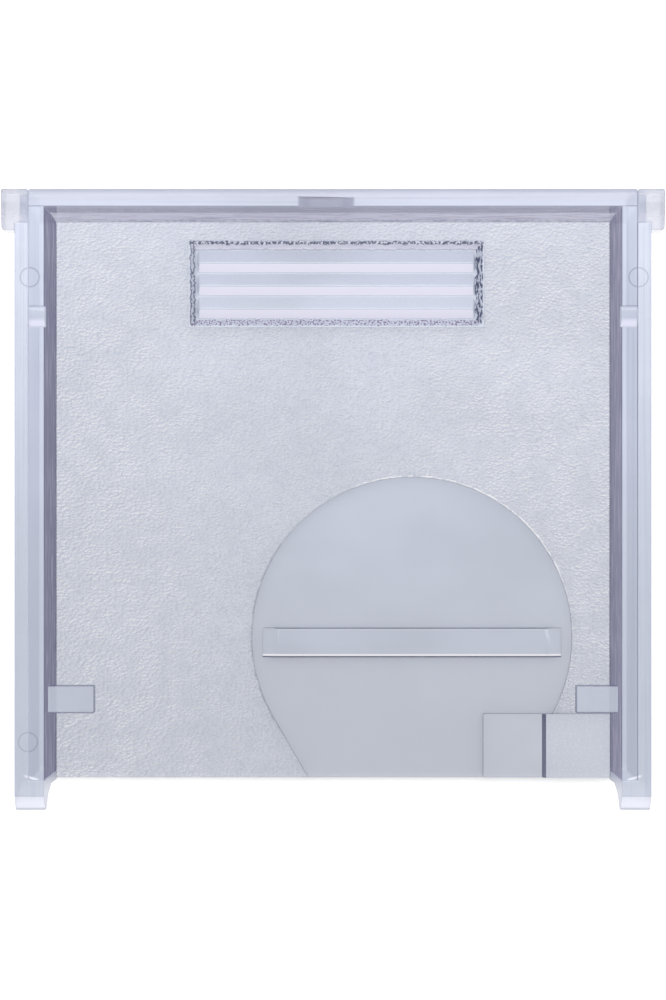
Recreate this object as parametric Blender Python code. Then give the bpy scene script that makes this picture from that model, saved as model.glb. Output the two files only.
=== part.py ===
"""Negative carrier: a clear plastic tray that slides into an enlarger or a viewer.

A grained base plate lies flat. A top wall and two side walls stand on it, and the tray is
open at its lower edge, where film or glass slides in under two keepers. A runner is bonded
outside each side wall: it ends below in a foot with a lead-in nose, and above it carries a
stop ear. A ribbed thumb grip, a polished window with a guide bar, and a two-level corner pad
are let into the plate.

The model lies on its back: X runs across the tray, Y from the feet to the stop ears, and Z
from the underside to the rim. The origin is the middle of the underside.
"""

import math

import bmesh
import bpy

MM = 0.001

# Overall sizes
FILM_WIDTH = 102.0 * MM        # clear width between the side walls, at the rim
CARRIER_LENGTH = 110.0 * MM    # from the outer face of the top wall to the noses of the feet
RIM_HEIGHT = 14.5 * MM         # from the underside to the rim
PLATE_THICKNESS = 2.5 * MM
JOINT_GAP = 0.3 * MM           # glue line between two pieces
EDGE_ROUND = 0.22 * MM         # softened edge of a wall or a runner

# Walls and runners
WALL_THICKNESS = 2.75 * MM     # side wall, at the rim
WALL_DRAFT = 0.5 * MM          # how far a side wall's foot stands in from its rim
WALL_SEAT = 0.8 * MM           # depth of the rebate in the plate that the walls stand in
TOP_WALL_THICKNESS = 3.15 * MM
TOP_WALL_DRAFT = 0.25 * MM     # lean of the top wall above its cove
COVE_RISE = 6.5 * MM           # the cove's height above the plate
COVE_DEPTH = 0.85 * MM         # how far the cove reaches in at the plate
RIM_BEVEL_WIDTH = 1.2 * MM     # sloping outer edge along the top wall
RIM_BEVEL_DROP = 0.5 * MM
RUNNER_THICKNESS = 2.2 * MM
NOTCH_LENGTH = 10.4 * MM       # lifting notch in the top wall's rim
NOTCH_WIDTH = 1.6 * MM
NOTCH_DEPTH = 1.3 * MM
NOTCH_OFFSET = -1.2 * MM

# Feet: the lower ends of the runners. Drops are measured down from the rim, and setbacks
# are measured up from the tip of the nose.
FOOT_OVERHANG = 4.4 * MM       # the feet reach this far past the plate's lower edge
FOOT_BLOCK_LENGTH = 5.5 * MM   # the part of the foot that is as wide as the whole rail
HEEL_SETBACK = 3.9 * MM
HEEL_DROP = 7.5 * MM
KNEE_SETBACK = 2.4 * MM
KNEE_DROP = 4.6 * MM
CHIN_SETBACK = 0.4 * MM
CHIN_DROP = 3.2 * MM
TIP_DROP = 2.6 * MM
BROW_SETBACK = 0.7 * MM
BROW_DROP = 1.2 * MM
LEAD_IN_SETBACK = 2.75 * MM

# Stop ears
EAR_LENGTH = 7.2 * MM
EAR_REACH = 2.5 * MM           # beyond the runner's outer face
EAR_DEPTH = 6.0 * MM
EAR_LAND = 3.4 * MM            # flat upper part of the ear's top
EAR_FALL = 1.0 * MM            # drop of the sloping lower part
EAR_HOOK = 1.2 * MM            # how far the stop face hooks down past the end of the lap
EAR_ROUND = 0.5 * MM

# Detents on the side walls
DETENT_FROM_TOP = 20.8 * MM
DETENT_LENGTH = 3.6 * MM
DETENT_FALL = 1.4 * MM         # length of the sloping lower end
DETENT_HEIGHT = 0.4 * MM       # above the rim
DETENT_SEAT = 1.4 * MM         # depth of its seat in the wall
DETENT_BULGE = 0.2 * MM        # how far it stands in from the wall's face

# Keepers
KEEPER_RISE = 6.3 * MM         # clear height under the keeper
KEEPER_THICKNESS = 1.6 * MM
KEEPER_WIDTH = 5.0 * MM
KEEPER_FROM_EDGE = 12.5 * MM   # from the plate's lower edge to the keeper's lower side
KEEPER_REACH = {"left": 8.2 * MM, "right": 7.4 * MM}
KEEPER_ROOT = 1.3 * MM         # tenon in the side wall

# Thumb grip
GRIP_WIDTH = 54.0 * MM
GRIP_FROM_TOP = 3.4 * MM       # from the foot of the top wall to the grip's mouth
GRIP_OFFSET = 0.6 * MM
GRIP_FLOOR = 1.1 * MM          # material left under the dish
GRIP_SLOPE = 1.6 * MM          # width of the dish's sloping sides
RIB_COUNT = 3
RIB_PITCH = 4.2 * MM
RIB_FALL = 1.75 * MM           # length of each rib's steep side
RIB_RISE = 0.85 * MM

# Polished window and its guide bar
WINDOW_RADIUS = 29.2 * MM
WINDOW_TO_WALL = 6.9 * MM      # from the window's edge to the right wall
WINDOW_RISE = 25.6 * MM        # from the plate's lower edge to the window's centre
WINDOW_SINK = 0.15 * MM        # the window lies this far below the plate
WINDOW_STRAIGHT = 210.0        # degrees round the window, where its left side turns straight
BAR_WIDTH = 5.3 * MM
BAR_DROP = 1.0 * MM            # from the window's centre down to the bar's centre line
BAR_END_MARGIN = 1.75 * MM
BAR_HEIGHT = 0.5 * MM          # above the window
BAR_RAMP = 3.0 * MM
BAR_SEAT = 1.0 * MM            # depth of its seat in the window

# Corner pad at the lower right
PAD_LENGTH = 11.6 * MM         # from the plate's lower edge
PAD_WIDTH = 12.4 * MM          # the high level, next to the right wall
PAD_HEIGHT = 0.7 * MM
STEP_WIDTH = 10.7 * MM         # the low level beside it
STEP_HEIGHT = 0.2 * MM

# Round ejector marks under the rails
MARK_RADIUS = 1.75 * MM
MARK_DEPTH = 0.2 * MM
MARK_FROM_TOP = 14.6 * MM
MARK_FROM_FOOT = 10.7 * MM

# Places that follow from the sizes
TOP_Y = CARRIER_LENGTH / 2
FOOT_Y = -CARRIER_LENGTH / 2
PLATE_EDGE_Y = FOOT_Y + FOOT_OVERHANG
HALF_FILM = FILM_WIDTH / 2
HALF_BED = HALF_FILM - WALL_DRAFT
WALL_BACK = HALF_FILM + WALL_THICKNESS
RUNNER_FACE = WALL_BACK + JOINT_GAP
RUNNER_BACK = RUNNER_FACE + RUNNER_THICKNESS
EAR_TIP = RUNNER_BACK + EAR_REACH
TOP_RIM_Y = TOP_Y - TOP_WALL_THICKNESS
TOP_COVE_Y = TOP_RIM_Y - TOP_WALL_DRAFT
TOP_FOOT_Y = TOP_COVE_Y - COVE_DEPTH
SEAT_Z = PLATE_THICKNESS - WALL_SEAT
WALL_BASE = SEAT_Z + JOINT_GAP
COVE_TOP = PLATE_THICKNESS + COVE_RISE
LAP_Y = TOP_Y - EAR_LENGTH + EAR_HOOK - JOINT_GAP
LAP_Z = RIM_HEIGHT - EAR_DEPTH - JOINT_GAP
BLOCK_Y = FOOT_Y + FOOT_BLOCK_LENGTH
WALL_END_Y = BLOCK_Y + JOINT_GAP
KEEPER_Z = PLATE_THICKNESS + KEEPER_RISE
KEEPER_Y = PLATE_EDGE_Y + KEEPER_FROM_EDGE
DETENT_TOP_Y = TOP_Y - DETENT_FROM_TOP
DETENT_BASE = RIM_HEIGHT - DETENT_SEAT
GRIP_LENGTH = RIB_COUNT * RIB_PITCH + 2 * GRIP_SLOPE
GRIP_TOP_Y = TOP_FOOT_Y - GRIP_FROM_TOP
WINDOW_X = HALF_BED - WINDOW_TO_WALL - WINDOW_RADIUS
WINDOW_Y = PLATE_EDGE_Y + WINDOW_RISE
WINDOW_TOP = PLATE_THICKNESS - WINDOW_SINK
BAR_Y = WINDOW_Y - BAR_DROP
PAD_X = HALF_BED - PAD_WIDTH
STEP_X = PAD_X - STEP_WIDTH
PAD_TOP_Y = PLATE_EDGE_Y + PAD_LENGTH
MARK_X = (HALF_FILM + RUNNER_BACK) / 2

PAST = 5.0 * MM                # how far a cutter runs past what it cuts
SIDES = {"left": -1, "right": 1}


def clear_plastic(name, colour, roughness):
    """A clear moulded plastic, with the tint that this piece shows."""
    material = bpy.data.materials.new(name)
    material.use_nodes = True
    shader = material.node_tree.nodes["Principled BSDF"]
    shader.inputs["Base Color"].default_value = (*colour, 1.0)
    shader.inputs["Roughness"].default_value = roughness
    shader.inputs["Metallic"].default_value = 0.0
    shader.inputs["IOR"].default_value = 1.57
    shader.inputs["Transmission Weight"].default_value = 0.85
    material.diffuse_color = (*colour, 1.0)
    return material


def add_object(name, bm, material=None):
    """Turn a bmesh into an object with its faces pointing out."""
    bmesh.ops.recalc_face_normals(bm, faces=bm.faces)
    mesh = bpy.data.meshes.new(name)
    bm.to_mesh(mesh)
    bm.free()
    if material:
        mesh.materials.append(material)
    obj = bpy.data.objects.new(name, mesh)
    bpy.context.collection.objects.link(obj)
    return obj


def extrude_outline(points, direction):
    """Close an outline with a face and extrude it by a vector."""
    bm = bmesh.new()
    face = bm.faces.new([bm.verts.new(point) for point in points])
    grown = bmesh.ops.extrude_face_region(bm, geom=[face])
    moved = [item for item in grown["geom"] if isinstance(item, bmesh.types.BMVert)]
    bmesh.ops.translate(bm, verts=moved, vec=direction)
    return bm


def box_mesh(low, high):
    """A box between two corners."""
    outline = [(low[0], low[1], low[2]), (high[0], low[1], low[2]),
               (high[0], high[1], low[2]), (low[0], high[1], low[2])]
    return extrude_outline(outline, (0, 0, high[2] - low[2]))


def side_profile_mesh(outline, near_x, far_x):
    """Extrude an outline of (y, z) points along X."""
    return extrude_outline([(near_x, y, z) for y, z in outline], (far_x - near_x, 0, 0))


def front_profile_mesh(outline, near_y, far_y):
    """Extrude an outline of (x, z) points along Y."""
    return extrude_outline([(x, near_y, z) for x, z in outline], (0, far_y - near_y, 0))


def disc_mesh(centre, radius, low_z, high_z, sides):
    """An upright round disc."""
    bm = bmesh.new()
    bmesh.ops.create_circle(bm, cap_ends=True, radius=radius, segments=sides)
    bmesh.ops.translate(bm, verts=bm.verts, vec=(centre[0], centre[1], low_z))
    grown = bmesh.ops.extrude_face_region(bm, geom=list(bm.faces))
    moved = [item for item in grown["geom"] if isinstance(item, bmesh.types.BMVert)]
    bmesh.ops.translate(bm, verts=moved, vec=(0, 0, high_z - low_z))
    return bm


def boolean(obj, bm, operation="DIFFERENCE"):
    """Cut or join a tool shape with a Boolean modifier; the tool itself isn't a piece."""
    tool = add_object(obj.name + "_tool", bm)
    tool.hide_render = True
    tool.display_type = "WIRE"
    modifier = obj.modifiers.new(operation.title(), "BOOLEAN")
    modifier.operation = operation
    modifier.solver = "EXACT"
    modifier.object = tool


def round_edges(obj, width, segments=2, angle=35.0):
    """Soften the edges that are sharper than an angle."""
    modifier = obj.modifiers.new("Rounded edges", "BEVEL")
    modifier.width = width
    modifier.segments = segments
    modifier.limit_method = "ANGLE"
    modifier.angle_limit = math.radians(angle)


def shade_round(obj, angle=30.0):
    """Shade a curved side smooth and keep its rims sharp."""
    obj.data.shade_smooth()
    obj.data.set_sharp_from_angle(angle=math.radians(angle))


def wall_face(z):
    """Distance of a side wall's inner face from the middle plane at a height."""
    return HALF_FILM - WALL_DRAFT * (RIM_HEIGHT - z) / (RIM_HEIGHT - PLATE_THICKNESS)


def lean_inner_face(bm, side, amount=0.0):
    """Move the inner corners of a wall or a foot onto the drafted inner face."""
    middle = (HALF_FILM + WALL_BACK) / 2
    for vert in bm.verts:
        if abs(vert.co.x) < middle:
            vert.co.x = side * (wall_face(vert.co.z) - amount)


def top_wall_outline(gap):
    """The top wall's inner face from the rim down to its foot, moved in by a gap."""
    foot_y = TOP_FOOT_Y + COVE_DEPTH / COVE_RISE * (WALL_BASE - PLATE_THICKNESS)
    return [(TOP_RIM_Y - gap, RIM_HEIGHT), (TOP_COVE_Y - gap, COVE_TOP), (foot_y - gap, WALL_BASE)]


def bed_edge():
    """Where the raised bed ends at the sides, a gap short of the side walls' feet."""
    return wall_face(WALL_BASE) - JOINT_GAP


def foot_outline():
    """The feet's nose from the sole round to the rim, as (y, z) points."""
    drops = [(HEEL_SETBACK, HEEL_DROP), (KNEE_SETBACK, KNEE_DROP), (CHIN_SETBACK, CHIN_DROP),
             (0.0, TIP_DROP), (0.0, (TIP_DROP + BROW_DROP) / 2), (BROW_SETBACK, BROW_DROP),
             (LEAD_IN_SETBACK, 0.0)]
    return [(FOOT_Y + setback, RIM_HEIGHT - drop) for setback, drop in drops]


def grip_span():
    """The grip's left, right, lower and upper sides."""
    left = GRIP_OFFSET - GRIP_WIDTH / 2
    return left, left + GRIP_WIDTH, GRIP_TOP_Y - GRIP_LENGTH, GRIP_TOP_Y


def pad_footprint(gap, low_z, high_z):
    """The corner pad's rectangle, grown by a gap, as a cutter."""
    low = (STEP_X - gap, PLATE_EDGE_Y - PAST, low_z)
    return box_mesh(low, (WALL_BACK + PAST, PAD_TOP_Y + gap, high_z))


def window_mesh(gap, low_z, high_z):
    """The window's outline, grown by a gap: round, but with a straight side at its lower left."""
    radius = WINDOW_RADIUS + gap
    steps = 108
    start = math.radians(WINDOW_STRAIGHT)
    end = math.radians(-90)
    points = []
    for index in range(steps + 1):
        angle = start + (end - start) * index / steps
        points.append((WINDOW_X + radius * math.cos(angle), WINDOW_Y + radius * math.sin(angle)))
    drop = points[0][1] - points[-1][1]
    points.append((points[0][0] + drop * math.tan(start), points[-1][1]))
    return extrude_outline([(x, y, low_z) for x, y in points], (0, 0, high_z - low_z))


def mark_cutters():
    """Shallow round ejector marks under both rails."""
    for side in SIDES.values():
        for y in (TOP_Y - MARK_FROM_TOP, FOOT_Y + MARK_FROM_FOOT):
            yield side, disc_mesh((side * MARK_X, y), MARK_RADIUS, -PAST, MARK_DEPTH, 24)


def make_base_plate():
    """The plate, with a rebate for the walls and openings for the pieces let into it."""
    material = clear_plastic("grained clear plastic", (0.62, 0.66, 0.76), 0.18)
    edge = bed_edge()
    outline = [(-WALL_BACK, 0), (WALL_BACK, 0), (WALL_BACK, SEAT_Z), (edge, SEAT_Z),
               (edge, PLATE_THICKNESS), (-edge, PLATE_THICKNESS), (-edge, SEAT_Z),
               (-WALL_BACK, SEAT_Z)]
    plate = add_object("base_plate", front_profile_mesh(outline, PLATE_EDGE_Y, TOP_Y), material)
    low = (-WALL_BACK - PAST, top_wall_outline(JOINT_GAP)[-1][0], SEAT_Z)
    boolean(plate, box_mesh(low, (WALL_BACK + PAST, TOP_Y + PAST, PLATE_THICKNESS + PAST)))
    left, right, bottom, top = grip_span()
    mouth_low = (left - JOINT_GAP, bottom - JOINT_GAP, -PAST)
    boolean(plate, box_mesh(mouth_low, (right + JOINT_GAP, top + JOINT_GAP, PAST)))
    boolean(plate, window_mesh(JOINT_GAP, -PAST, PAST))
    boolean(plate, pad_footprint(JOINT_GAP, -PAST, PAST))
    for _, mark in mark_cutters():
        boolean(plate, mark)


def make_window():
    """The polished window, cut off flush with the plate's lower edge."""
    material = clear_plastic("polished clear plastic", (0.60, 0.64, 0.74), 0.05)
    window = add_object("focus_window", window_mesh(0, 0, WINDOW_TOP), material)
    low = (WINDOW_X - 2 * WINDOW_RADIUS, WINDOW_Y - 2 * WINDOW_RADIUS, -PAST)
    boolean(window, box_mesh(low, (WINDOW_X + 2 * WINDOW_RADIUS, PLATE_EDGE_Y, PAST)))
    boolean(window, pad_footprint(JOINT_GAP, -PAST, PAST))
    half = bar_half_length() + JOINT_GAP
    reach = BAR_WIDTH / 2 + JOINT_GAP
    seat_low = (WINDOW_X - half, BAR_Y - reach, WINDOW_TOP - BAR_SEAT)
    boolean(window, box_mesh(seat_low, (WINDOW_X + half, BAR_Y + reach, PAST)))
    shade_round(window)


def bar_half_length():
    """Half the length that leaves the end margin between the bar and the window's edge."""
    farthest = BAR_DROP + BAR_WIDTH / 2
    return math.sqrt(WINDOW_RADIUS ** 2 - farthest ** 2) - BAR_END_MARGIN


def make_guide_bar():
    """The low bar across the window, which ramps down to it at both ends."""
    material = clear_plastic("guide bar clear plastic", (0.62, 0.65, 0.75), 0.06)
    half = bar_half_length()
    base = WINDOW_TOP - BAR_SEAT + JOINT_GAP
    outline = [(WINDOW_X - half, base), (WINDOW_X + half, base), (WINDOW_X + half, WINDOW_TOP),
               (WINDOW_X + half - BAR_RAMP, WINDOW_TOP + BAR_HEIGHT),
               (WINDOW_X - half + BAR_RAMP, WINDOW_TOP + BAR_HEIGHT), (WINDOW_X - half, WINDOW_TOP)]
    bar = front_profile_mesh(outline, BAR_Y - BAR_WIDTH / 2, BAR_Y + BAR_WIDTH / 2)
    add_object("guide_bar", bar, material)


def make_thumb_grip():
    """A dish with sloping sides and three saw-tooth ribs, steep on their lower sides."""
    material = clear_plastic("ribbed clear plastic", (0.64, 0.68, 0.78), 0.08)
    left, right, bottom, top = grip_span()
    tile = box_mesh((left, bottom, 0), (right, top, PLATE_THICKNESS))
    grip = add_object("thumb_grip", tile, material)
    boolean(grip, dish_mesh(left, right, bottom, top))
    sunk = GRIP_FLOOR / 2
    outline = [(top - GRIP_SLOPE, sunk)]
    for index in range(RIB_COUNT):
        foot_y = top - GRIP_SLOPE - index * RIB_PITCH
        outline.append((foot_y, GRIP_FLOOR))
        outline.append((foot_y - RIB_PITCH + RIB_FALL, GRIP_FLOOR + RIB_RISE))
    outline.append((bottom + GRIP_SLOPE, GRIP_FLOOR))
    outline.append((bottom + GRIP_SLOPE, sunk))
    inset = GRIP_SLOPE / 2
    boolean(grip, side_profile_mesh(outline, left + inset, right - inset), "UNION")


def dish_mesh(left, right, bottom, top):
    """The hollow of the thumb grip, wider at its mouth; it runs on above the plate."""
    depth = PLATE_THICKNESS - GRIP_FLOOR
    reach = GRIP_SLOPE * PAST / depth
    bm = bmesh.new()
    floor = [(left + GRIP_SLOPE, bottom + GRIP_SLOPE), (right - GRIP_SLOPE, bottom + GRIP_SLOPE),
             (right - GRIP_SLOPE, top - GRIP_SLOPE), (left + GRIP_SLOPE, top - GRIP_SLOPE)]
    mouth = [(left - reach, bottom - reach), (right + reach, bottom - reach),
             (right + reach, top + reach), (left - reach, top + reach)]
    low = [bm.verts.new((x, y, GRIP_FLOOR)) for x, y in floor]
    high = [bm.verts.new((x, y, PLATE_THICKNESS + PAST)) for x, y in mouth]
    bm.faces.new(low)
    bm.faces.new(high)
    for index in range(4):
        after = (index + 1) % 4
        bm.faces.new((low[index], low[after], high[after], high[index]))
    return bm


def make_corner_pad():
    """A pad with a high and a low level; its outer tongue lies under the right wall."""
    material = clear_plastic("corner pad clear plastic", (0.60, 0.64, 0.73), 0.08)
    high = PLATE_THICKNESS + PAD_HEIGHT
    low = PLATE_THICKNESS + STEP_HEIGHT
    edge = bed_edge()
    outline = [(STEP_X, 0), (WALL_BACK, 0), (WALL_BACK, SEAT_Z), (edge, SEAT_Z), (edge, high),
               (PAD_X + PAD_HEIGHT, high), (PAD_X, low), (STEP_X, low)]
    pad = add_object("corner_pad", front_profile_mesh(outline, PLATE_EDGE_Y, PAD_TOP_Y), material)
    for side, mark in mark_cutters():
        if side == SIDES["right"]:
            boolean(pad, mark)


def make_top_wall():
    """The wall across the top, with a cove at its foot and a lifting notch in its rim."""
    material = clear_plastic("top wall clear plastic", (0.62, 0.65, 0.77), 0.08)
    outline = [(TOP_Y, WALL_BASE), (TOP_Y, RIM_HEIGHT - RIM_BEVEL_DROP),
               (TOP_Y - RIM_BEVEL_WIDTH, RIM_HEIGHT)] + top_wall_outline(0)
    wall = add_object("top_wall", side_profile_mesh(outline, -WALL_BACK, WALL_BACK), material)
    radius = (NOTCH_LENGTH ** 2 / 4 + NOTCH_DEPTH ** 2) / (2 * NOTCH_DEPTH)
    steps = 16
    half_angle = math.asin(NOTCH_LENGTH / 2 / radius)
    scoop = [(NOTCH_OFFSET + NOTCH_LENGTH / 2, RIM_HEIGHT + PAST),
             (NOTCH_OFFSET - NOTCH_LENGTH / 2, RIM_HEIGHT + PAST)]
    for index in range(steps + 1):
        angle = half_angle * (2 * index / steps - 1)
        x = NOTCH_OFFSET + radius * math.sin(angle)
        scoop.append((x, RIM_HEIGHT - NOTCH_DEPTH + radius * (1 - math.cos(angle))))
    boolean(wall, front_profile_mesh(scoop, TOP_RIM_Y - PAST, TOP_RIM_Y + NOTCH_WIDTH))
    round_edges(wall, EDGE_ROUND)


def make_side_wall(name, side):
    """A wall beside the film, with a mortise for its keeper and a seat for its detent."""
    material = clear_plastic(name + " wall clear plastic", (0.60, 0.63, 0.75), 0.08)
    outline = [(WALL_END_Y, WALL_BASE), (WALL_END_Y, RIM_HEIGHT)] + top_wall_outline(JOINT_GAP)
    bm = side_profile_mesh(outline, side * HALF_FILM, side * WALL_BACK)
    lean_inner_face(bm, side)
    wall = add_object(name + "_wall", bm, material)
    mortise_x = wall_face(KEEPER_Z) + KEEPER_ROOT + JOINT_GAP
    low = (side * (HALF_FILM - PAST), KEEPER_Y - JOINT_GAP, KEEPER_Z - JOINT_GAP)
    high = (side * mortise_x, KEEPER_Y + KEEPER_WIDTH + JOINT_GAP,
            KEEPER_Z + KEEPER_THICKNESS + JOINT_GAP)
    boolean(wall, box_mesh(low, high))
    low = (side * (HALF_FILM - PAST), DETENT_TOP_Y - DETENT_LENGTH - JOINT_GAP,
           DETENT_BASE - JOINT_GAP)
    high = (side * (WALL_BACK + PAST), DETENT_TOP_Y + JOINT_GAP, RIM_HEIGHT + PAST)
    boolean(wall, box_mesh(low, high))
    round_edges(wall, EDGE_ROUND)


def make_detent(name, side):
    """A small ridge let into the rim of a side wall, sloping down on its lower side."""
    material = clear_plastic(name + " detent clear plastic", (0.70, 0.73, 0.84), 0.08)
    lower_y = DETENT_TOP_Y - DETENT_LENGTH
    crest = RIM_HEIGHT + DETENT_HEIGHT
    outline = [(lower_y, DETENT_BASE), (DETENT_TOP_Y, DETENT_BASE), (DETENT_TOP_Y, RIM_HEIGHT),
               (DETENT_TOP_Y - DETENT_HEIGHT, crest), (lower_y + DETENT_FALL, crest),
               (lower_y, RIM_HEIGHT - DETENT_HEIGHT)]
    bm = side_profile_mesh(outline, side * HALF_FILM, side * WALL_BACK)
    lean_inner_face(bm, side, DETENT_BULGE)
    add_object(name + "_detent", bm, material)


def make_keeper(name, side):
    """A flat tab that reaches over the film, with its root in the side wall."""
    material = clear_plastic(name + " keeper clear plastic", (0.62, 0.65, 0.75), 0.08)
    face = wall_face(KEEPER_Z)
    low = (side * (face - KEEPER_REACH[name]), KEEPER_Y, KEEPER_Z)
    high = (side * (face + KEEPER_ROOT), KEEPER_Y + KEEPER_WIDTH, KEEPER_Z + KEEPER_THICKNESS)
    keeper = add_object(name + "_keeper", box_mesh(low, high), material)
    round_edges(keeper, EDGE_ROUND)


def make_runner(name, side):
    """The strip outside a side wall, with the foot below and the ear's lap above."""
    material = clear_plastic(name + " runner clear plastic", (0.61, 0.64, 0.75), 0.08)
    outline = [(FOOT_Y + HEEL_SETBACK, 0)] + foot_outline()
    outline += [(LAP_Y, RIM_HEIGHT), (LAP_Y, LAP_Z), (TOP_Y, LAP_Z), (TOP_Y, 0)]
    bm = side_profile_mesh(outline, side * HALF_FILM, side * RUNNER_BACK)
    lean_inner_face(bm, side)
    runner = add_object(name + "_runner", bm, material)
    inside_x = side * (HALF_FILM - PAST)
    low = (inside_x, BLOCK_Y, -PAST)
    boolean(runner, box_mesh(low, (side * RUNNER_FACE, TOP_Y + PAST, RIM_HEIGHT + PAST)))
    low = (inside_x, FOOT_Y - PAST, -PAST)
    boolean(runner, box_mesh(low, (side * RUNNER_FACE, TOP_Y + PAST, WALL_BASE)))
    for mark_side, mark in mark_cutters():
        if mark_side == side:
            boolean(runner, mark)
    round_edges(runner, EDGE_ROUND)


def make_stop_ear(name, side):
    """The ear that stops the carrier; it sits on the runner's lap and hooks down beside it."""
    material = clear_plastic(name + " ear clear plastic", (0.68, 0.71, 0.82), 0.08)
    lower_y = TOP_Y - EAR_LENGTH
    base = RIM_HEIGHT - EAR_DEPTH
    outline = [(lower_y, base), (TOP_Y, base), (TOP_Y, RIM_HEIGHT), (TOP_Y - EAR_LAND, RIM_HEIGHT),
               (lower_y, RIM_HEIGHT - EAR_FALL)]
    bm = side_profile_mesh(outline, side * RUNNER_FACE, side * EAR_TIP)
    ear = add_object(name + "_stop_ear", bm, material)
    low = (side * (RUNNER_FACE - PAST), lower_y - PAST, -PAST)
    high = (side * (RUNNER_BACK + JOINT_GAP), lower_y + EAR_HOOK, RIM_HEIGHT + PAST)
    boolean(ear, box_mesh(low, high))
    round_edges(ear, EAR_ROUND, segments=3)


def main():
    for obj in list(bpy.data.objects):
        bpy.data.objects.remove(obj, do_unlink=True)
    make_base_plate()
    make_window()
    make_guide_bar()
    make_thumb_grip()
    make_corner_pad()
    make_top_wall()
    for name, side in SIDES.items():
        make_side_wall(name, side)
        make_detent(name, side)
        make_keeper(name, side)
        make_runner(name, side)
        make_stop_ear(name, side)


main()
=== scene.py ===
# %% [markdown]
# # Dressing a clear negative carrier
#
# A negative carrier holds a sheet of film flat in an enlarger. This one is a shallow tray of
# clear plastic: a grained plate, three walls, two runners with nosed feet, stop ears, keepers, a
# thumb grip and a polished window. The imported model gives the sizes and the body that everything
# rides on. The cells below build a finer piece for each of its nodes and give each a clear plastic.
#
# Loading comes first, because the model's own bounds are the box that the fine pieces stay inside.

import math

import bmesh
import bpy
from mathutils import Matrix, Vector, noise


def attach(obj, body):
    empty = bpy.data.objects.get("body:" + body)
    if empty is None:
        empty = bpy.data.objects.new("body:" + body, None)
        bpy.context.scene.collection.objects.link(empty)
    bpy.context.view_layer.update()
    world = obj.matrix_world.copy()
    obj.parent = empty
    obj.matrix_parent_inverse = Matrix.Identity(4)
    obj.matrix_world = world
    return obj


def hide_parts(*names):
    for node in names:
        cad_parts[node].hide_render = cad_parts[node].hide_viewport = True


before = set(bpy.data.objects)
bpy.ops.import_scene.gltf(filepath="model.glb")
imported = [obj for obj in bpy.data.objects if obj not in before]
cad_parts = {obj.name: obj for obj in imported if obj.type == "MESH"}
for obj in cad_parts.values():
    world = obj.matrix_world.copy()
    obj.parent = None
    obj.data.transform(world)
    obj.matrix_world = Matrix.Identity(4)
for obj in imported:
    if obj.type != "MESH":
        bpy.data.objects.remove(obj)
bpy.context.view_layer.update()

# %% [markdown]
# ## Sizes that several pieces share
#
# A tray like this is moulded, so its side walls lean a little to leave the mould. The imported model
# keeps gaps of 0.3 mm between its pieces. Here they meet in hairline seams instead, which is how
# neighbouring regions of clear plastic look.

# %% Shared sizes
MM = 0.001
SEAM = 0.02 * MM
TOP_Y = 55.0 * MM
PLATE_EDGE_Y = -50.6 * MM
PLATE_TOP = 2.5 * MM
RIM = 14.5 * MM
SEAT_Z = 1.7 * MM
WALL_BACK = 53.75 * MM
RUNNER_BACK = 56.25 * MM
HALF_BED = 51.0 * MM
WALL_LEAN = 0.5 * MM
SIDES = {"left": -1, "right": 1}

# Cutters end at these places, where there is nothing left to cut.
PAST = 0.01
FAR = 0.06
OVER_BED = 0.045
OVER_RIM = 0.02


def wall_face(z):
    """Distance of a side wall's leaning inner face from the middle, at a height."""
    return HALF_BED - WALL_LEAN * (RIM - z) / (RIM - PLATE_TOP)


print("the bed is", round(2 * wall_face(PLATE_TOP) / MM, 1), "mm wide between the walls' feet")

# %% [markdown]
# ## Turning outlines into solids
#
# Nearly every piece of a moulding is an outline pushed along one direction and then trimmed. A
# cube scaled to size would need its edges moved by hand, so the outlines are given as points. One
# function makes a prism, one trims a piece with another shape, and one softens the edges, because
# a mould leaves no edge quite sharp.

# %% Outlines and prisms
AXES = {"X": (1, 2, 0), "Y": (0, 2, 1), "Z": (0, 1, 2)}


def prism(outline, axis, low, high):
    """Push a flat outline along an axis from one place to another."""
    across, up, along = AXES[axis]
    bm = bmesh.new()
    loops = []
    for place in (low, high):
        loop = []
        for point in outline:
            where = [0.0, 0.0, 0.0]
            where[across], where[up], where[along] = point[0], point[1], place
            loop.append(bm.verts.new(where))
        loops.append(loop)
        bm.faces.new(loop)
    for index in range(len(outline)):
        after = (index + 1) % len(outline)
        bm.faces.new((loops[0][index], loops[0][after], loops[1][after], loops[1][index]))
    return bm


def box(low, high):
    """A box between two corners."""
    outline = [(low[0], low[1]), (high[0], low[1]), (high[0], high[1]), (low[0], high[1])]
    return prism(outline, "Z", low[2], high[2])


def arc(centre, radius, first, last, count):
    """Points along an arc, with its two ends given in turns."""
    points = []
    for index in range(count + 1):
        angle = 2 * math.pi * (first + (last - first) * index / count)
        points.append((centre[0] + radius * math.cos(angle), centre[1] + radius * math.sin(angle)))
    return points


def ring(centre, radius, count):
    """Points round a circle."""
    return arc(centre, radius, 0, 1, count)[:-1]


print("outline helpers ready")

# %% [markdown]
# ## From outlines to finished objects
#
# A Boolean trims a piece, and its result is kept as a plain mesh, so that no cutter is left
# behind. The edges are softened by a Bevel modifier, which stays on the object and can still be
# changed. The last helper gives a fine piece its finish, hides the node that it stands for and
# hangs it on the root body.

# %% Objects, trims and soft edges
def new_object(name, bm):
    """An object from a bmesh, with its faces pointing out."""
    bmesh.ops.recalc_face_normals(bm, faces=bm.faces)
    mesh = bpy.data.meshes.new(name)
    bm.to_mesh(mesh)
    bm.free()
    made = bpy.data.objects.new(name, mesh)
    bpy.context.collection.objects.link(made)
    return made


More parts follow.
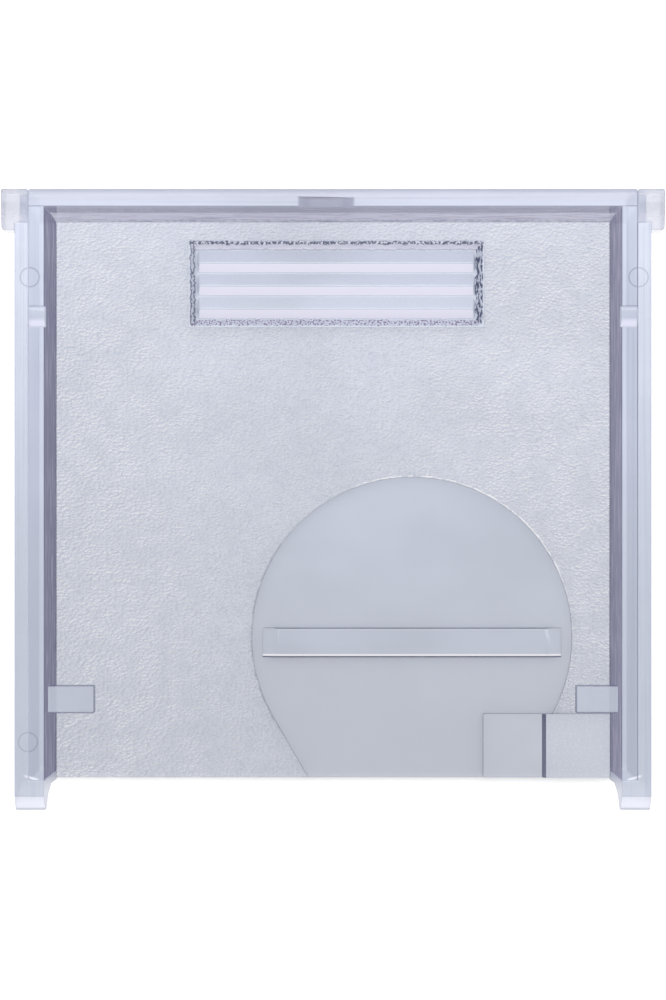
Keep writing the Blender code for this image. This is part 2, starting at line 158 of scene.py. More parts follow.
def trim(piece, bm):
    """Cut a shape out of a piece, and keep only the result."""
    tool = new_object("tool", bm)
    modifier = piece.modifiers.new("Trim", "BOOLEAN")
    modifier.operation = "DIFFERENCE"
    modifier.solver = "EXACT"
    modifier.object = tool
    bpy.context.view_layer.update()
    solved = piece.evaluated_get(bpy.context.evaluated_depsgraph_get())
    result = bpy.data.meshes.new_from_object(solved)
    piece.modifiers.clear()
    piece.data = result
    bpy.data.objects.remove(tool, do_unlink=True)


def soften(piece, width, segments=2):
    """Round off the sharp edges, and shade the faces between them smooth."""
    piece.data.shade_smooth()
    modifier = piece.modifiers.new("Soft edges", "BEVEL")
    modifier.width = width
    modifier.segments = segments
    modifier.limit_method = "ANGLE"
    modifier.angle_limit = math.radians(30)
    modifier.harden_normals = True


def stand_in(piece, material, node, casts_shadow=True):
    """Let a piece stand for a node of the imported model, with the finish of a slot.

    A piece that casts no shadow is hidden from diffuse rays too, so it doesn't tint what is near.
    """
    piece.data.materials.clear()
    piece.data.materials.append(material)
    piece.visible_shadow = casts_shadow
    piece.visible_diffuse = casts_shadow
    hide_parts(node)
    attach(piece, "root")


print("object helpers ready")

# %% [markdown]
# ## Shader sums as Python sums
#
# A shader is a chain of small calculations. Wrapping a socket in a class lets Python's own signs
# add the nodes, so a pattern reads as a formula.

# %% The socket class
class Shade:
    """One value in a shader. Arithmetic on it adds the nodes that work it out."""

    def __init__(self, tree, socket=None):
        self.tree = tree
        self.socket = socket

    def join(self, value, target):
        """Link a shade to an input, or set a plain value on it."""
        if isinstance(value, Shade):
            self.tree.links.new(value.socket, target)
        else:
            target.default_value = value

    def node(self, kind, settings=None, inputs=None, output=0):
        """Any other node: its type, its settings, its inputs and which output to take."""
        made = self.tree.nodes.new(kind)
        for name, value in (settings or {}).items():
            setattr(made, name, value)
        for key, value in (inputs or {}).items():
            self.join(value, made.inputs[key])
        return Shade(self.tree, made.outputs[output])

    def maths(self, operation, first, second=0.0):
        """One Math node."""
        return self.node("ShaderNodeMath", {"operation": operation}, {0: first, 1: second})

    def __add__(self, other):
        return self.maths("ADD", self, other)

    def __sub__(self, other):
        return self.maths("SUBTRACT", self, other)

    def __rsub__(self, other):
        return self.maths("SUBTRACT", other, self)

    def __mul__(self, other):
        return self.maths("MULTIPLY", self, other)

    def __neg__(self):
        return self.maths("MULTIPLY", self, -1.0)

    def __abs__(self):
        return self.maths("ABSOLUTE", self)

    __radd__ = __add__
    __rmul__ = __mul__

    def step(self, low, high):
        """A smooth rise from 0 to 1 between two values."""
        return self.node("ShaderNodeMapRange", {"interpolation_type": "SMOOTHSTEP"},
                         {0: self, 1: low, 2: high})

    def line(self, centre, half_width):
        """A soft line where this value passes a centre: 1 on it, and 0 beside it."""
        return 1.0 - abs(self - centre).step(0.3 * half_width, half_width)

    def mix(self, under, over):
        """Blend from one colour to another, with this shade as the share."""
        return self.node("ShaderNodeMix", {"data_type": "RGBA"}, {0: self, 6: under, 7: over}, 2)

    def stretch(self, x, y, z=1.0):
        """Scale a position along each axis."""
        return self.node("ShaderNodeVectorMath", {"operation": "MULTIPLY"},
                         {0: self, 1: (x, y, z)})

    def dot(self, direction):
        """How far a direction leans towards another."""
        return self.node("ShaderNodeVectorMath", {"operation": "DOT_PRODUCT"},
                         {0: self, 1: direction}, 1)

    def parts(self):
        """The three components of a position or a direction."""
        return [self.node("ShaderNodeSeparateXYZ", None, {0: self}, axis) for axis in "XYZ"]

    def noise(self, detail=2.0, roughness=0.5):
        """Cloudy noise over the first two components of this position, one lump to a unit."""
        return self.node("ShaderNodeTexNoise", {"noise_dimensions": "2D"},
                         {"Vector": self, "Scale": 1.0, "Detail": detail, "Roughness": roughness})


print("shader helper ready")

# %% [markdown]
# ## The tints of the clear plastic
#
# Clear plastic takes its tone from what its faces send the light to. A face that lies flat shows
# the pale floor through it, and a steep face sends the eye along inside the plastic, so it looks
# deeper in colour. Here that light and shade are painted into the colour, as a tint for each way
# of facing. Each tone here is the one that the finished surface shows on a screen. The
# studio lights a level face with a little more than one, so the tones are scaled down to suit.

# %% Tints
LIGHT = 0.84


def tone(red, green, blue):
    """A colour from the 0 to 255 values of a screen, as linear light under this studio's lamps."""
    def linear(value):
        value = value / 255
        return value / 12.92 if value < 0.04045 else ((value + 0.055) / 1.055) ** 2.4
    return (LIGHT * linear(red), LIGHT * linear(green), LIGHT * linear(blue), 1.0)


# PALE is a painted highlight. DEEP, NAVY and SLATE are painted shades, and SLATE also draws the pin
# rings.
PALE = tone(234, 233, 250)
DEEP = tone(104, 104, 132)
NAVY = tone(52, 58, 98)
SLATE = tone(128, 132, 152)
WAYS = {"east": (1, 0, 0), "west": (-1, 0, 0), "north": (0, 1, 0), "south": (0, -1, 0)}
print(len(WAYS), "ways of facing can take a tint")

# %% [markdown]
# ## The clear plastic
#
# A simpler plastic does as well here: part of the light passes straight through, more of it
# where the face is seen square on and less where it is seen at a slant, as with any clear sheet.
# The material paints each way of facing with its own tint, a painted highlight or painted shade,
# so the tray stays legible from every side.
# A slow cloudiness in the colour and the gloss stands for the flow of the plastic.

# %% Clear plastic
def facing_share(place, facing, way):
    """How far a face looks one way; outward is away from the tray's middle, on either side."""
    if way in WAYS:
        return facing.dot(WAYS[way])
    across = place.parts()[0]
    outward = facing.parts()[0] * across.maths("SIGN", across)
    return outward if way == "outward" else -outward


def clear_plastic(name, flat, painted_tints=None, edges=(0.35, 0.8), roughness=0.07, pattern=None,
                  relief=None, depth=0.02 * MM, solid=0.5, shine=0.5):
    """A clear plastic: tints names a colour for each way of facing that differs from flat.

    Each of these tints is painted light or shade, and comes in between the two shares of facing
    in edges. Patterns and reliefs get the place in millimetres. The share of light that a square-on
    face stops is solid.
    """
    material = bpy.data.materials.new(name)
    material.use_nodes = True
    tree = material.node_tree
    shader = tree.nodes["Principled BSDF"]
    start = Shade(tree)
    place = start.node("ShaderNodeTexCoord", output="Object").stretch(1000.0, 1000.0, 1000.0)
    facing = start.node("ShaderNodeNewGeometry", output="Normal")
    if relief:
        facing = start.node("ShaderNodeBump", None, {
            "Strength": 1.0, "Distance": depth, "Height": relief(place)})
        start.join(facing, shader.inputs["Normal"])
    flow = place.stretch(0.035, 0.05).noise(2.0, 0.5)
    deeper = tuple(0.9 * channel for channel in flat[:3]) + (1.0,)
    colour = flow.step(0.3, 0.7).mix(flat, deeper)
    for way, tint in (painted_tints or {}).items():
        # Painted highlight or painted shade: each way of facing takes its own tint.
        colour = facing_share(place, facing, way).step(*edges).mix(colour, tint)
    if pattern:
        colour = pattern(place, facing, colour)
    start.join(colour, shader.inputs["Base Color"])
    start.join(roughness + 0.06 * flow, shader.inputs["Roughness"])
    shader.inputs["IOR"].default_value = 1.57
    shader.inputs["Specular IOR Level"].default_value = shine
    glancing = start.node("ShaderNodeLayerWeight", None, {"Blend": 0.5}, "Facing")
    start.join(solid + (1 - solid) * glancing * glancing * glancing, shader.inputs["Alpha"])
    return material


print("plastic ready")

# %% [markdown]
# ## The grain of the base plate
#
# The plate's upper face has a fine pebble grain that keeps the film from clinging. A mesh that
# fine would need millions of faces, so the grain is a height pattern for the Bump node. The lumps
# come from cells and noise together. The tilted normals then choose a painted tint: slopes that
# lean down the tray get a painted glint, and the others painted shade. The glints are stronger
# towards the sides, and the plate is painted a little darker towards its open end.

# %% Grain
WINDOW = (14.4 * MM, -25.0 * MM)
WINDOW_RADIUS = 29.2 * MM
STRAIGHT_FROM = 210 / 360


def window_outline(gap):
    """Round, with a straight side at the lower left that leaves the circle without a corner."""
    radius = WINDOW_RADIUS + gap
    points = arc(WINDOW, radius, STRAIGHT_FROM, -0.25, 216)
    drop = points[0][1] - points[-1][1]
    slant = math.tan(2 * math.pi * STRAIGHT_FROM)
    return points + [(points[0][0] + drop * slant, points[-1][1])]


def pebbles(place):
    """Small lumps, a little longer across the tray than along it."""
    bent = place.stretch(1.35, 2.0)
    cells = bent.node("ShaderNodeTexVoronoi", {"feature": "F1", "voronoi_dimensions": "2D"},
                      {"Vector": bent, "Scale": 1.0})
    return 0.8 * bent.noise(2.0, 0.6) - 0.8 * cells


def bright_rim(place, colour):
    """A painted highlight on the window's bevel above and to the right, and a painted dark line at
    the left.
    """
    x, y, _ = place.parts()
    off_x = x - WINDOW[0] / MM
    off_y = y - WINDOW[1] / MM
    away = (off_x * off_x + off_y * off_y).maths("SQRT", off_x * off_x + off_y * off_y)
    waver = place.stretch(0.7, 0.7).noise(2.0, 0.6)
    broken = place.stretch(0.5, 0.5).noise(2.0, 0.6).step(0.38, 0.5)
    rim = (away + waver * 0.5).line(WINDOW_RADIUS / MM + 0.4, 0.2) * broken
    above = (off_y * 0.9 + off_x * 0.45).step(17.0, 25.0)
    beside = (-off_x).step(20.0, 27.0) * 0.4
    return (rim * above).mix((rim * beside).mix(colour, SLATE), tone(250, 250, 255))


def painted_grain_glints(place, facing, colour):
    """Painted glints on the grain's slopes that lean down the tray, painted shade on those leaning
    up it.
    """
    x, y, _ = place.parts()
    # Painted shade: the plate gets darker towards its open end.
    colour = y.step(-62.0, 62.0).mix(tone(192, 197, 209), colour)
    clumps = place.stretch(0.25, 0.25).noise(2.0, 0.5).step(0.3, 0.7)
    strength = (0.55 + 0.6 * clumps) * (0.45 + 0.55 * abs(x + 4.0).step(6.0, 44.0))
    bright = facing.dot((0.25, -1.0, 0.0)).step(0.19, 0.33) * strength
    dark = facing.dot((-0.25, 1.0, 0.0)).step(0.1, 0.4) * 0.4
    colour = bright.mix(dark.mix(colour, tone(170, 177, 198)), tone(252, 252, 255))
    return bright_rim(place, colour)


print("grain ready")

# %% [markdown]
# ## The base plate
#
# The plate is the bed that the film lies on. It would be one sheet with the other regions moulded
# into it, so the plate here is a sheet with an opening for each of them. Its profile is stepped:
# the walls stand in a low ledge round the bed. Pushing that profile along the tray makes the ledge
# on both sides at once, and four trims make the openings.

# %% Base plate
GRIP = (-26.4 * MM, 31.55 * MM, 27.6 * MM, 47.35 * MM)
PAD_LEFT = 27.4 * MM
PAD_TOP = -39.0 * MM
BED_TOP = 50.685 * MM
bed_side = wall_face(SEAT_Z) - SEAM


def pad_cutter():
    """The corner that the pad fills."""
    return box((PAD_LEFT - SEAM, -FAR, -PAST), (FAR, PAD_TOP + SEAM, PAST))


profile = [(-WALL_BACK, 0), (WALL_BACK, 0), (WALL_BACK, SEAT_Z), (bed_side, SEAT_Z),
           (bed_side, PLATE_TOP), (-bed_side, PLATE_TOP), (-bed_side, SEAT_Z),
           (-WALL_BACK, SEAT_Z)]
plate = new_object("grained_plate", prism(profile, "Y", PLATE_EDGE_Y, TOP_Y))
trim(plate, box((-FAR, BED_TOP - SEAM, SEAT_Z), (FAR, FAR, PAST)))
trim(plate, box((GRIP[0] - SEAM, GRIP[1] - SEAM, -PAST), (GRIP[2] + SEAM, GRIP[3] + SEAM, PAST)))
trim(plate, prism(window_outline(SEAM), "Z", -PAST, PAST))
trim(plate, pad_cutter())
soften(plate, 0.03 * MM)
grained = clear_plastic("grained plastic", tone(214, 219, 234), roughness=0.13, relief=pebbles,
                        depth=0.24 * MM, solid=0.6, pattern=painted_grain_glints)
stand_in(plate, grained, "base_plate")
print("plate has", len(plate.data.polygons), "faces")

# %% [markdown]
# ## The polished window
#
# The window is where the grain stops, so that the eye or a focusing magnifier can look straight
# through. It is round, with one straight side at the lower left, and it is cut off flush with the
# plate's lower edge. A very slow ripple in its surface keeps the polish from looking dead flat.

# %% Polished window
WINDOW_TOP = 2.35 * MM
BAR_SEAT = 1.35 * MM
BAR_LOW = -28.65 * MM
BAR_HIGH = -23.35 * MM
BAR_ENDS = (-12.8 * MM, 41.6 * MM)
CUT_LEFT, CUT_LOW = -0.03, -0.07


def slow_ripple(place):
    """Lumps several millimetres across."""
    return place.stretch(0.12, 0.12).noise(2.0, 0.4)


def painted_shade_downwards(place, facing, colour):
    """Painted shade: the window is a little greyer towards the open edge."""
    return place.parts()[1].step(-60.0, 10.0).mix(tone(188, 193, 204), colour)


window = new_object("polished_window", prism(window_outline(0), "Z", 0, WINDOW_TOP))
trim(window, box((CUT_LEFT, CUT_LOW, -PAST), (FAR, PLATE_EDGE_Y, PAST)))
trim(window, pad_cutter())
trim(window, box((BAR_ENDS[0] - SEAM, BAR_LOW - SEAM, BAR_SEAT),
                 (BAR_ENDS[1] + SEAM, BAR_HIGH + SEAM, PAST)))
soften(window, 0.03 * MM)
polished = clear_plastic("polished plastic", tone(200, 206, 221), relief=slow_ripple,
                         depth=0.1 * MM, roughness=0.04, solid=0.6, pattern=painted_shade_downwards)
stand_in(window, polished, "focus_window")
print("window has", len(window.data.polygons), "faces")

# %% [markdown]
# ## The guide bar
#
# A low bar crosses the window and ramps down to it at both ends, so that film can slide over it.
# Its two long edges are rounded and its ends run out flush. A Bevel modifier would round all of
# them alike, so the rounding is drawn into the cross-section and two wedges cut the ramps.

# %% Guide bar
BAR_TOP = 2.85 * MM
BAR_ROUND = 0.3 * MM
RAMP_SLOPE = 0.163
RAMP_OVERRUN = 0.6 * MM
RAMP_REACH = 3.6 * MM


def bar_highlight_and_shade(place, facing, colour):
    """A painted highlight along the lower edge, with a painted dark hairline of shade below it."""
    rise = place.parts()[1] - BAR_LOW / MM
    pale = 1.0 - rise.step(0.45, 0.65)
    return rise.line(0.08, 0.2).mix(pale.mix(colour, tone(250, 249, 255)), DEEP)


section = [(BAR_LOW, BAR_SEAT + SEAM), (BAR_HIGH, BAR_SEAT + SEAM)]
section += arc((BAR_HIGH - BAR_ROUND, BAR_TOP - BAR_ROUND), BAR_ROUND, 0, 0.25, 6)
section += arc((BAR_LOW + BAR_ROUND, BAR_TOP - BAR_ROUND), BAR_ROUND, 0.25, 0.5, 6)
bar = new_object("guide_rail", prism(section, "X", *BAR_ENDS))
for end, inwards in zip(BAR_ENDS, (1, -1)):
    outer = end - inwards * RAMP_OVERRUN
    low_z = WINDOW_TOP + 0.01 * MM - RAMP_SLOPE * RAMP_OVERRUN
    high_z = low_z + RAMP_SLOPE * (RAMP_OVERRUN + RAMP_REACH)
    wedge = [(outer, low_z), (end + inwards * RAMP_REACH, high_z), (outer, high_z)]
    trim(bar, prism(wedge, "Y", BAR_LOW - MM, BAR_HIGH + MM))
bar.data.shade_smooth()
bar.data.set_sharp_from_angle(angle=math.radians(25))
# The north-facing flank of the bar gets a painted shade.
bar_plastic = clear_plastic("guide bar plastic", tone(199, 204, 218), edges=(0.25, 0.6), solid=0.6,
                            painted_tints={"north": SLATE}, pattern=bar_highlight_and_shade)
stand_in(bar, bar_plastic, "guide_bar")
print("bar has", len(bar.data.polygons), "faces")

# %% [markdown]
# ## The thumb grip's shape
#
# The grip is a shallow dish with three saw-tooth ribs, which a thumb pushes against to slide the
# carrier home. Its sloping sides waver slightly. A shape like that is easiest to give as a height
# for each place on a fine grid, with the sole and the four sides closed below it.

# %% Grip shape
GRIP_FLOOR = 1.1 * MM
SLOPE = 1.6 * MM
PITCH = 4.2 * MM
FALL = 1.75 * MM
RISE = 0.85 * MM
RIBS = 3
SLOPE_START = 0.15 * MM
RIB_TAPER = 0.3 * MM
WAVER = 0.2 * MM
WAVER_LUMP = 1.1 * MM
GRID = 0.2 * MM


def ease(value, low, high):
    """A smooth rise from 0 to 1 between two values."""
    share = min(max((value - low) / (high - low), 0.0), 1.0)
    return share * share * (3 - 2 * share)


def grip_height(x, y):
    """Height of the grip's upper face: sloping sides with a wavering foot, and the ribs."""
    waver = WAVER * noise.noise(Vector((x, y, 0)) / WAVER_LUMP)
    ends = min(x - GRIP[0], GRIP[2] - x)
    edge = min(ends, y - GRIP[1], GRIP[3] - y)
    sink = ease(edge + waver, SLOPE_START, SLOPE)
    down = (GRIP[3] - SLOPE - y) / PITCH
    rib = 0.0
    if 0 <= down < RIBS:
        share = (down % 1.0) * PITCH
        rib = min(share / (PITCH - FALL), (PITCH - share) / FALL) * RISE
    floor_z = PLATE_TOP + (GRIP_FLOOR - PLATE_TOP) * sink
    return floor_z + rib * ease(ends, SLOPE, SLOPE + RIB_TAPER)


def height_field(low_x, low_y, high_x, high_y, spacing, height):
    """A solid block whose upper face follows a height, on a fine grid."""
    columns = round((high_x - low_x) / spacing)
    rows = round((high_y - low_y) / spacing)
    bm = bmesh.new()
    top = []
    for row in range(rows + 1):
        y = low_y + (high_y - low_y) * row / rows
        verts = []
        for column in range(columns + 1):
            x = low_x + (high_x - low_x) * column / columns
            verts.append(bm.verts.new((x, y, height(x, y))))
        top.append(verts)
    for row in range(rows):
        for column in range(columns):
            bm.faces.new((top[row][column], top[row][column + 1], top[row + 1][column + 1],
                          top[row + 1][column]))
    rim = top[0][:-1] + [verts[-1] for verts in top[:-1]] + top[-1][:0:-1]
    rim += [verts[0] for verts in top[:0:-1]]
    sole = [bm.verts.new((vert.co.x, vert.co.y, 0)) for vert in rim]
    for index in range(len(rim)):
        after = (index + 1) % len(rim)
        bm.faces.new((rim[index], rim[after], sole[after], sole[index]))
    bm.faces.new(sole)
    return bm


grip = new_object("ribbed_grip", height_field(*GRIP, GRID, grip_height))
grip.data.shade_smooth()
grip.data.set_sharp_from_angle(angle=math.radians(50))
print("grip has", len(grip.data.polygons), "faces")

# %% [markdown]
# ## The thumb grip's finish
#
# The steep side of each rib gets a painted highlight and shows nearly white. The dish's own sides
# bend what lies behind them, and each does it differently: two wavering lines at the left, a dark
# broken line at the top, blue streaks at the right and violet specks at the bottom. All of that
# is painted shade, a pattern in the colour, measured from the dish's four sides.

# %% Grip finish
def wavering_rims(place, facing, colour):
    """The painted shade on the dish's sloping sides: lines, streaks and specks."""
    x, y, _ = place.parts()
    left, low, right, high = [value / MM for value in GRIP]
    waver = (place.stretch(0.8, 0.8).noise(2.0, 0.6) - 0.5) * 1.1
    broken = place.stretch(2.2, 2.2).noise(2.0, 0.6).step(0.4, 0.5)
    streaks = place.stretch(3.0, 0.9).noise(2.0, 0.6).step(0.47, 0.55)
    specks = place.stretch(2.6, 2.6).noise(2.0, 0.6).step(0.48, 0.6)
    right_slope = facing.dot(WAYS["west"]).step(0.2, 0.5) * x.step(0.0, 1.0)
    colour = (right_slope * streaks).mix(colour, NAVY)
    colour = (facing.dot(WAYS["north"]).step(0.3, 0.5) * specks).mix(colour, tone(124, 108, 142))
    at_left = x - left + waver
    beside = x - left + (place.stretch(0.7, 0.9).noise(2.0, 0.6) - 0.5) * 1.1
    at_top = high - y + waver * 0.5
    inside_x = (x - left).step(0.0, 0.3) * (right - x).step(0.0, 0.3)
    inside_y = (y - low).step(0.0, 0.3)
    lines = at_left.line(0.45, 0.17) + beside.line(1.0, 0.17)
    colour = (lines * inside_y * 0.85).mix(colour, tone(92, 94, 122))
    colour = (at_top.line(0.4, 0.42) * broken * inside_x).mix(colour, tone(88, 98, 122))
    return (at_top.line(1.5, 0.16) * 0.5 * inside_x).mix(colour, SLATE)


# The steep side of each rib gets a painted highlight.
ribbed = clear_plastic("ribbed plastic", tone(198, 204, 220), edges=(0.25, 0.4), solid=0.75,
                       painted_tints={"south": PALE}, pattern=wavering_rims)
stand_in(grip, ribbed, "thumb_grip")
print("grip dressed")

# %% [markdown]
# ## The corner pad
#
# The pad at the lower right has two levels, for the fingers that pull the carrier out. The step
# between them is a steep narrow face, painted dark blue as shade. One profile, pushed along the
# tray, gives both levels, the step and the tongue that runs under the wall.

# %% Corner pad
PAD_STEP = 38.1 * MM
PAD_STEP_WIDTH = 0.7 * MM
PAD_LOW_Z = 2.7 * MM
PAD_HIGH_Z = 3.2 * MM


def dark_riser(place, facing, colour):
    """Painted shade on the step between the two levels, and faint painted glints of grain on the
    high level.
    """
    x, y, _ = place.parts()
    middle = x.step(37.0, 37.5)
    grain = place.stretch(2.0, 3.0).noise(2.0, 0.6).step(0.55, 0.65) * x.step(38.6, 39.0)
    colour = (grain * 0.25).mix(colour, PALE)
    return (facing.dot(WAYS["west"]).step(0.2, 0.4) * middle).mix(colour, NAVY)


profile = [(PAD_LEFT, 0), (WALL_BACK, 0), (WALL_BACK, SEAT_Z), (bed_side, SEAT_Z),
           (bed_side, PAD_HIGH_Z), (PAD_STEP + PAD_STEP_WIDTH, PAD_HIGH_Z), (PAD_STEP, PAD_LOW_Z),
           (PAD_LEFT, PAD_LOW_Z)]
pad = new_object("stepped_pad", prism(profile, "Y", PLATE_EDGE_Y, PAD_TOP))
soften(pad, 0.05 * MM)
pad_plastic = clear_plastic("corner pad plastic", tone(199, 204, 216), solid=0.65,
                            pattern=dark_riser)
stand_in(pad, pad_plastic, "corner_pad")
print("pad done")

# %% [markdown]
# ## Marks that the mould leaves, and painted shade and sheen
#
# A steel mould drags on the steep faces as the plastic leaves it, and that makes long streaks.
# They are strong on the inner faces, where painted shade also darkens them along the rim and the
# foot. On the outer faces the streaks are faint, and they are painted sheen. The level faces carry
# fine tool lines instead, and faint rings where round pins pushed the tray out. These marks are
# shared by several pieces, so each is a function that takes a colour and gives back the marked
# colour. Places in them are in millimetres.

# %% Marks of the mould, painted shade and sheen
PIN_RADIUS = 1.68
PIN_PLACES = ((-53.5, 39.3), (53.9, 39.3), (-53.8, -42.7))
SEAM_FADES = (-49.6, -49.3)


def along_wall(place):
    """How far along a wall a place is, and how high, stretched so that lumps become streaks."""
    x, y, z = place.parts()
    run = (x + y) * 0.09
    return run.node("ShaderNodeCombineXYZ", None, {0: run, 1: z * 0.9})


def outer_sheen_streaks(place, facing, colour):
    """Faint long streaks of painted sheen, pale and dark, on the outer upright faces."""
    outward = facing_share(place, facing, "outward")
    upright = outward.maths("MAXIMUM", outward, facing.dot(WAYS["north"])).step(0.5, 0.9)
    spread = along_wall(place)
    pale = spread.noise(2.0, 0.6).step(0.46, 0.64) * 0.2
    dark = spread.stretch(1.7, 1.6).noise(2.0, 0.6).step(0.5, 0.66) * 0.2
    colour = (pale * upright).mix(colour, tone(208, 210, 228))
    return (dark * upright).mix(colour, tone(146, 151, 176))


def drag_lines_and_shade(place, facing, colour):
    """Drag streaks on the inner faces, with painted shade at rim and foot; the right wall is painted
    a little paler.
    """
    x, _, z = place.parts()
    inner = facing_share(place, facing, "inward")
    steep = inner.maths("MAXIMUM", inner, facing.dot(WAYS["south"])).step(0.4, 0.8)
    spread = along_wall(place)
    # The right wall's inner face is painted a little paler, as painted light.
    pale = spread.noise(2.0, 0.6).step(0.48, 0.66) * 0.45 + x.step(50.0, 51.0) * 0.3
    dark = spread.stretch(1.7, 1.6).noise(2.0, 0.6).step(0.52, 0.66) * 0.3
    # Painted shade: darker along the rim and in a broken band near the foot.
    rim = z.step(12.9, 14.2) * 0.35
    foot = z.line(3.0, 1.3) * spread.stretch(9.0, 1.0).noise(1.0, 0.5).step(0.42, 0.6) * 0.25
    colour = (pale * steep).mix(colour, tone(178, 174, 196))
    colour = (dark * steep).mix(colour, tone(98, 98, 126))
    return ((rim + foot) * steep).mix(colour, tone(84, 86, 112))


def tool_lines(place, facing, colour, across=(1.5, 0.012)):
    """Hairlines from the cutter that made the mould, and a dark line on the right wall's seam."""
    level = facing.dot((0, 0, 1)).step(0.8, 0.95)
    lines = place.stretch(*across).noise(2.0, 0.7).step(0.48, 0.7)
    colour = (lines * level * 0.25).mix(colour, tone(150, 158, 180))
    x, y, _ = place.parts()
    seam = x.line(WALL_BACK / MM, 0.16) * y.step(*SEAM_FADES)
    return (seam * 0.7).mix(colour, tone(96, 104, 130))


def pin_rings(place, facing, colour):
    """Faint rings where round pins pushed the moulding out of the mould."""
    x, y, _ = place.parts()
    level = facing.dot((0, 0, 1)).step(0.8, 0.95) * 0.5
    for pin_x, pin_y in PIN_PLACES:
        squares = (x - pin_x) * (x - pin_x) + (y - pin_y) * (y - pin_y)
        away = squares.maths("SQRT", squares)
        colour = (away.line(PIN_RADIUS, 0.2) * level).mix(colour, SLATE)
    return colour


print("marks ready")

# %% [markdown]
# ## The marks, painted glint and painted shade of the walls and the runners
#
# Towards the feet the level faces get painted shade, and where a side wall ends, its corner gets
# one short slanting painted glint. The tip of a runner's nose gets painted shade, greyer than its
# slope. With these, each wall and runner has one function that lays all its marks over each other.

# %% Marks of walls and runners
NEAR_FADES = (-30.0, 50.0)
GLINT_X, GLINT_Y = 53.0, -49.1
GLINT_SLANT = 0.3
GLINT_STARTS = (51.6, 52.2)
GLINT_ENDS = (53.8, 54.8)
TIP_FADES = (-54.75, -54.35)


def near_end(place, facing, colour):
    """Painted shade on the level faces towards the feet, and one painted glint where a wall ends."""
    x, y, _ = place.parts()
    level = facing.dot((0, 0, 1)).step(0.8, 0.95)
    near = (1.0 - y.step(*NEAR_FADES)) * level
    side = abs(x)
    slanting = (y - (side - GLINT_X) * GLINT_SLANT).line(GLINT_Y, 0.33)
    stroke = slanting * side.step(*GLINT_STARTS) * (1.0 - side.step(*GLINT_ENDS)) * level
    # Painted shade towards the feet, and a painted glint where a wall ends.
    colour = (near * 0.8).mix(colour, tone(168, 174, 187))
    return (stroke * 0.7).mix(colour, tone(246, 246, 255))


def wall_marks(place, facing, colour):
    """All the marks of a side wall, with its painted shade and painted glint."""
    colour = tool_lines(place, facing, drag_lines_and_shade(place, facing, colour))
    return pin_rings(place, facing, near_end(place, facing, colour))


def runner_marks(place, facing, colour):
    """The marks of a runner, with painted shade greying the tip of its nose."""
    colour = outer_sheen_streaks(place, facing, near_end(place, facing, colour))
    # Painted shade greys the tip of the nose.
    tip = 1.0 - place.parts()[1].step(*TIP_FADES)
    colour = (tip * 0.8).mix(colour, tone(172, 176, 192))
    return pin_rings(place, facing, tool_lines(place, facing, colour))


print("marks of walls and runners ready")

# %% [markdown]
# ## The top wall
#
# The wall across the top keeps the film from sliding out. It has a coved foot, a bevelled outer
# rim and a shallow notch for a fingernail. Its cross-section is the same all along, so one
# outline is pushed across the tray, with the cove as a curve, and a large round cutter makes the
# notch.

# %% Top wall
COVE_TOP = 9.0 * MM
COVE_DEPTH = 0.85 * MM
COVE_POINTS = 6
COVE_CURVE = 1.6
TOP_FACE_Y = 51.6 * MM
TOP_RIM_Y = 51.85 * MM
RIM_BEVEL = 1.2 * MM
RIM_BEVEL_DROP = 0.5 * MM
NOTCH_RADIUS = 11.05 * MM
NOTCH_X = -1.2 * MM
NOTCH_DEPTH = 1.3 * MM
NOTCH_WIDTH = 1.6 * MM

inner_outline = [(TOP_RIM_Y, RIM), (TOP_FACE_Y, COVE_TOP)]
for index in range(1, COVE_POINTS + 1):
    share = index / COVE_POINTS
    inner_outline.append((TOP_FACE_Y - COVE_DEPTH * share ** COVE_CURVE,
                          COVE_TOP + (PLATE_TOP - COVE_TOP) * share))
inner_outline.append((BED_TOP, SEAT_Z + SEAM))
outline = [(TOP_Y, SEAT_Z + SEAM), (TOP_Y, RIM - RIM_BEVEL_DROP), (TOP_Y - RIM_BEVEL, RIM)]
top_wall = new_object("notched_wall", prism(outline + inner_outline, "X", -WALL_BACK, WALL_BACK))
notch = ring((NOTCH_X, RIM - NOTCH_DEPTH + NOTCH_RADIUS), NOTCH_RADIUS, 128)
trim(top_wall, prism(notch, "Y", OVER_BED, TOP_RIM_Y + NOTCH_WIDTH))
soften(top_wall, 0.2 * MM, 3)


def coved(place, facing, colour):
    """Painted light makes the cove paler than the face above it, and painted shade darkens the
    notch.
    """
    height = place.parts()[2]
    low = facing.dot(WAYS["south"]).step(0.35, 0.8) * (1.0 - height.step(7.5, 9.0))
    colour = tool_lines(place, facing, low.mix(colour, tone(222, 221, 238)), (0.012, 1.5))
    colour = outer_sheen_streaks(place, facing, drag_lines_and_shade(place, facing, colour))
    notched = (1.0 - height.step(14.2, 14.47)) * facing.dot((0, 0, 1)).step(0.8, 0.95)
    notched = notched * (1.0 - place.parts()[1].step(53.3, 53.6))
    return (notched * 0.9).mix(colour, tone(92, 91, 118))


# The inner face gets a painted shade, and the outer face a lighter painted shade.
top_plastic = clear_plastic("top wall plastic", tone(187, 192, 210), edges=(0.2, 0.5), solid=0.6,
                            painted_tints={"south": tone(134, 134, 158), "north": tone(158, 165, 182)},
                            shine=0.25, pattern=coved)
stand_in(top_wall, top_plastic, "top_wall", casts_shadow=False)
print("top wall has", len(top_wall.data.polygons), "faces")

# %% [markdown]
# ## The side walls
#
# Each side wall meets the top wall along the cove, so its upper end takes the same outline. The
# inner face leans, which is done by moving the inner corners after the prism is made. Clear walls
# throw almost no shadow on the bed, so these pieces are set to cast none.

